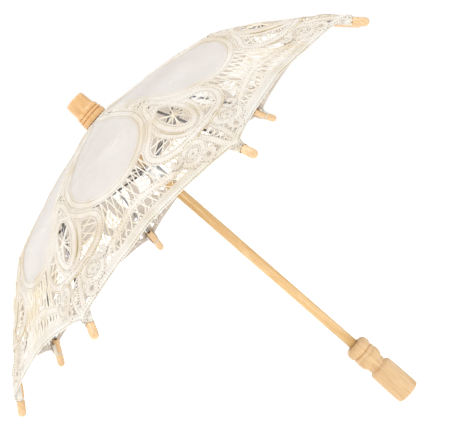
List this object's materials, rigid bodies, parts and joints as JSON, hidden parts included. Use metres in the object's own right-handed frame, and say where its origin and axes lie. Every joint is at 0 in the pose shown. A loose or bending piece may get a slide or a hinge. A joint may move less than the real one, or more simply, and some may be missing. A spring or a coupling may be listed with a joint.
{
  "type": "lace parasol",
  "caption": "Small open lace parasol: turned wooden handle and finial, dowel shaft, folding wire ribs with wooden tips, sliding runner and a scalloped tape-lace canopy.",
  "frame": {"origin": "centre of the flat end of the handle", "axes": "+Z along the shaft towards the finial, +X a quarter of a panel clockwise of the first rib as seen from above"},
  "size_m": [0.4976, 0.4976, 0.4274],
  "materials": {
    "shaft_wood": "honey-coloured varnished dowel, satin",
    "handle_wood": "pale turned wood, clear varnish, satin",
    "finial_wood": "turned wood, a little more orange, clear varnish, satin",
    "tip_wood": "pale turned wood, clear varnish, satin",
    "lace": "ivory cotton tape lace with off-white cloth insets, matt",
    "plated_fitting": "nickel-plated, satin to bright",
    "plated_steel": "nickel-plated drawn wire, bright",
    "bright_wire": "bright plated wire"
  },
  "bodies": {
    "stick": {"shaft": "shaft_wood", "handle": "handle_wood", "finial": "finial_wood", "crown_rosette": "lace", "top_notch": "plated_fitting", "top_notch_wire": "bright_wire", "top_notch_pin": "bright_wire", "stop_pin": "bright_wire"},
    "runner": {"runner": "plated_fitting"},
    "catch": {"spring_catch": "bright_wire"},
    "rib_1": {"rib_inner_1": "plated_steel", "canopy_upper_1": "lace"},
    "rib_end_1": {"rib_outer_1": "plated_steel", "canopy_lower_1": "lace", "tip_1": "tip_wood"},
    "stretcher_1": {"stretcher_1": "plated_steel"},
    "rib_2": {"rib_inner_2": "plated_steel", "canopy_upper_2": "lace"},
    "rib_end_2": {"rib_outer_2": "plated_steel", "canopy_lower_2": "lace", "tip_2": "tip_wood"},
    "stretcher_2": {"stretcher_2": "plated_steel"},
    "rib_3": {"rib_inner_3": "plated_steel", "canopy_upper_3": "lace"},
    "rib_end_3": {"rib_outer_3": "plated_steel", "canopy_lower_3": "lace", "tip_3": "tip_wood"},
    "stretcher_3": {"stretcher_3": "plated_steel"},
    "rib_4": {"rib_inner_4": "plated_steel", "canopy_upper_4": "lace"},
    "rib_end_4": {"rib_outer_4": "plated_steel", "canopy_lower_4": "lace", "tip_4": "tip_wood"},
    "stretcher_4": {"stretcher_4": "plated_steel"},
    "rib_5": {"rib_inner_5": "plated_steel", "canopy_upper_5": "lace"},
    "rib_end_5": {"rib_outer_5": "plated_steel", "canopy_lower_5": "lace", "tip_5": "tip_wood"},
    "stretcher_5": {"stretcher_5": "plated_steel"},
    "rib_6": {"rib_inner_6": "plated_steel", "canopy_upper_6": "lace"},
    "rib_end_6": {"rib_outer_6": "plated_steel", "canopy_lower_6": "lace", "tip_6": "tip_wood"},
    "stretcher_6": {"stretcher_6": "plated_steel"},
    "rib_7": {"rib_inner_7": "plated_steel", "canopy_upper_7": "lace"},
    "rib_end_7": {"rib_outer_7": "plated_steel", "canopy_lower_7": "lace", "tip_7": "tip_wood"},
    "stretcher_7": {"stretcher_7": "plated_steel"},
    "rib_8": {"rib_inner_8": "plated_steel", "canopy_upper_8": "lace"},
    "rib_end_8": {"rib_outer_8": "plated_steel", "canopy_lower_8": "lace", "tip_8": "tip_wood"},
    "stretcher_8": {"stretcher_8": "plated_steel"}
  },
  "joints": [
    {"name": "runner_slide", "type": "slide", "parent": "stick", "child": "runner", "axis": [0, 0, -1], "range_m": [0, 0.2178]},
    {"name": "catch_press", "type": "hinge", "parent": "stick", "child": "catch", "pos_m": [0.0022, 0, 0.2841], "axis": [0, -1, 0], "range_deg": [0, 6.5], "stiffness_Nm_per_rad": 0.01, "deforming": ["spring_catch"]},
    {"name": "rib_fold_1", "type": "hinge", "parent": "stick", "child": "rib_1", "pos_m": [0.0092, 0.00236, 0.3935], "axis": [-0.2487, 0.9686, 0], "range_deg": [0, 71.8], "deforming": ["canopy_upper_1"]},
    {"name": "rib_bow_1", "type": "hinge", "parent": "rib_1", "child": "rib_end_1", "pos_m": [0.1419, 0.03643, 0.3626], "axis": [-0.2487, 0.9686, 0], "range_deg": [-22, 0], "deforming": ["canopy_lower_1"]},
    {"name": "stretcher_fold_1", "type": "hinge", "parent": "rib_1", "child": "stretcher_1", "pos_m": [0.1419, 0.03643, 0.3626], "axis": [-0.2487, 0.9686, 0], "range_deg": [-143.6, 0]},
    {"name": "rib_fold_2", "type": "hinge", "parent": "stick", "child": "rib_2", "pos_m": [0.00484, 0.00818, 0.3935], "axis": [-0.8607, 0.509, 0], "range_deg": [0, 71.8], "deforming": ["canopy_upper_2"]},
    {"name": "rib_bow_2", "type": "hinge", "parent": "rib_2", "child": "rib_end_2", "pos_m": [0.07458, 0.1261, 0.3626], "axis": [-0.8607, 0.509, 0], "range_deg": [-22, 0], "deforming": ["canopy_lower_2"]},
    {"name": "stretcher_fold_2", "type": "hinge", "parent": "rib_2", "child": "stretcher_2", "pos_m": [0.07458, 0.1261, 0.3626], "axis": [-0.8607, 0.509, 0], "range_deg": [-143.6, 0]},
    {"name": "rib_fold_3", "type": "hinge", "parent": "stick", "child": "rib_3", "pos_m": [-0.00236, 0.0092, 0.3935], "axis": [-0.9686, -0.2487, 0], "range_deg": [0, 71.8], "deforming": ["canopy_upper_3"]},
    {"name": "rib_bow_3", "type": "hinge", "parent": "rib_3", "child": "rib_end_3", "pos_m": [-0.03643, 0.1419, 0.3626], "axis": [-0.9686, -0.2487, 0], "range_deg": [-22, 0], "deforming": ["canopy_lower_3"]},
    {"name": "stretcher_fold_3", "type": "hinge", "parent": "rib_3", "child": "stretcher_3", "pos_m": [-0.03643, 0.1419, 0.3626], "axis": [-0.9686, -0.2487, 0], "range_deg": [-143.6, 0]},
    {"name": "rib_fold_4", "type": "hinge", "parent": "stick", "child": "rib_4", "pos_m": [-0.00818, 0.00484, 0.3935], "axis": [-0.509, -0.8607, 0], "range_deg": [0, 71.8], "deforming": ["canopy_upper_4"]},
    {"name": "rib_bow_4", "type": "hinge", "parent": "rib_4", "child": "rib_end_4", "pos_m": [-0.1261, 0.07458, 0.3626], "axis": [-0.509, -0.8607, 0], "range_deg": [-22, 0], "deforming": ["canopy_lower_4"]},
    {"name": "stretcher_fold_4", "type": "hinge", "parent": "rib_4", "child": "stretcher_4", "pos_m": [-0.1261, 0.07458, 0.3626], "axis": [-0.509, -0.8607, 0], "range_deg": [-143.6, 0]},
    {"name": "rib_fold_5", "type": "hinge", "parent": "stick", "child": "rib_5", "pos_m": [-0.0092, -0.00236, 0.3935], "axis": [0.2487, -0.9686, 0], "range_deg": [0, 71.8], "deforming": ["canopy_upper_5"]},
    {"name": "rib_bow_5", "type": "hinge", "parent": "rib_5", "child": "rib_end_5", "pos_m": [-0.1419, -0.03643, 0.3626], "axis": [0.2487, -0.9686, 0], "range_deg": [-22, 0], "deforming": ["canopy_lower_5"]},
    {"name": "stretcher_fold_5", "type": "hinge", "parent": "rib_5", "child": "stretcher_5", "pos_m": [-0.1419, -0.03643, 0.3626], "axis": [0.2487, -0.9686, 0], "range_deg": [-143.6, 0]},
    {"name": "rib_fold_6", "type": "hinge", "parent": "stick", "child": "rib_6", "pos_m": [-0.00484, -0.00818, 0.3935], "axis": [0.8607, -0.509, 0], "range_deg": [0, 71.8], "deforming": ["canopy_upper_6"]},
    {"name": "rib_bow_6", "type": "hinge", "parent": "rib_6", "child": "rib_end_6", "pos_m": [-0.07458, -0.1261, 0.3626], "axis": [0.8607, -0.509, 0], "range_deg": [-22, 0], "deforming": ["canopy_lower_6"]},
    {"name": "stretcher_fold_6", "type": "hinge", "parent": "rib_6", "child": "stretcher_6", "pos_m": [-0.07458, -0.1261, 0.3626], "axis": [0.8607, -0.509, 0], "range_deg": [-143.6, 0]},
    {"name": "rib_fold_7", "type": "hinge", "parent": "stick", "child": "rib_7", "pos_m": [0.00236, -0.0092, 0.3935], "axis": [0.9686, 0.2487, 0], "range_deg": [0, 71.8], "deforming": ["canopy_upper_7"]},
    {"name": "rib_bow_7", "type": "hinge", "parent": "rib_7", "child": "rib_end_7", "pos_m": [0.03643, -0.1419, 0.3626], "axis": [0.9686, 0.2487, 0], "range_deg": [-22, 0], "deforming": ["canopy_lower_7"]},
    {"name": "stretcher_fold_7", "type": "hinge", "parent": "rib_7", "child": "stretcher_7", "pos_m": [0.03643, -0.1419, 0.3626], "axis": [0.9686, 0.2487, 0], "range_deg": [-143.6, 0]},
    {"name": "rib_fold_8", "type": "hinge", "parent": "stick", "child": "rib_8", "pos_m": [0.00818, -0.00484, 0.3935], "axis": [0.509, 0.8607, 0], "range_deg": [0, 71.8], "deforming": ["canopy_upper_8"]},
    {"name": "rib_bow_8", "type": "hinge", "parent": "rib_8", "child": "rib_end_8", "pos_m": [0.1261, -0.07458, 0.3626], "axis": [0.509, 0.8607, 0], "range_deg": [-22, 0], "deforming": ["canopy_lower_8"]},
    {"name": "stretcher_fold_8", "type": "hinge", "parent": "rib_8", "child": "stretcher_8", "pos_m": [0.1261, -0.07458, 0.3626], "axis": [0.509, 0.8607, 0], "range_deg": [-143.6, 0]}
  ],
  "couplings": [
    {"joint": "rib_fold_1", "follows": "runner_slide", "rad_per_m": 5.7537},
    {"joint": "rib_bow_1", "follows": "runner_slide", "rad_per_m": -1.763},
    {"joint": "stretcher_fold_1", "follows": "runner_slide", "rad_per_m": -11.507},
    {"joint": "rib_fold_2", "follows": "runner_slide", "rad_per_m": 5.7537},
    {"joint": "rib_bow_2", "follows": "runner_slide", "rad_per_m": -1.763},
    {"joint": "stretcher_fold_2", "follows": "runner_slide", "rad_per_m": -11.507},
    {"joint": "rib_fold_3", "follows": "runner_slide", "rad_per_m": 5.7537},
    {"joint": "rib_bow_3", "follows": "runner_slide", "rad_per_m": -1.763},
    {"joint": "stretcher_fold_3", "follows": "runner_slide", "rad_per_m": -11.507},
    {"joint": "rib_fold_4", "follows": "runner_slide", "rad_per_m": 5.7537},
    {"joint": "rib_bow_4", "follows": "runner_slide", "rad_per_m": -1.763},
    {"joint": "stretcher_fold_4", "follows": "runner_slide", "rad_per_m": -11.507},
    {"joint": "rib_fold_5", "follows": "runner_slide", "rad_per_m": 5.7537},
    {"joint": "rib_bow_5", "follows": "runner_slide", "rad_per_m": -1.763},
    {"joint": "stretcher_fold_5", "follows": "runner_slide", "rad_per_m": -11.507},
    {"joint": "rib_fold_6", "follows": "runner_slide", "rad_per_m": 5.7537},
    {"joint": "rib_bow_6", "follows": "runner_slide", "rad_per_m": -1.763},
    {"joint": "stretcher_fold_6", "follows": "runner_slide", "rad_per_m": -11.507},
    {"joint": "rib_fold_7", "follows": "runner_slide", "rad_per_m": 5.7537},
    {"joint": "rib_bow_7", "follows": "runner_slide", "rad_per_m": -1.763},
    {"joint": "stretcher_fold_7", "follows": "runner_slide", "rad_per_m": -11.507},
    {"joint": "rib_fold_8", "follows": "runner_slide", "rad_per_m": 5.7537},
    {"joint": "rib_bow_8", "follows": "runner_slide", "rad_per_m": -1.763},
    {"joint": "stretcher_fold_8", "follows": "runner_slide", "rad_per_m": -11.507}
  ]
}
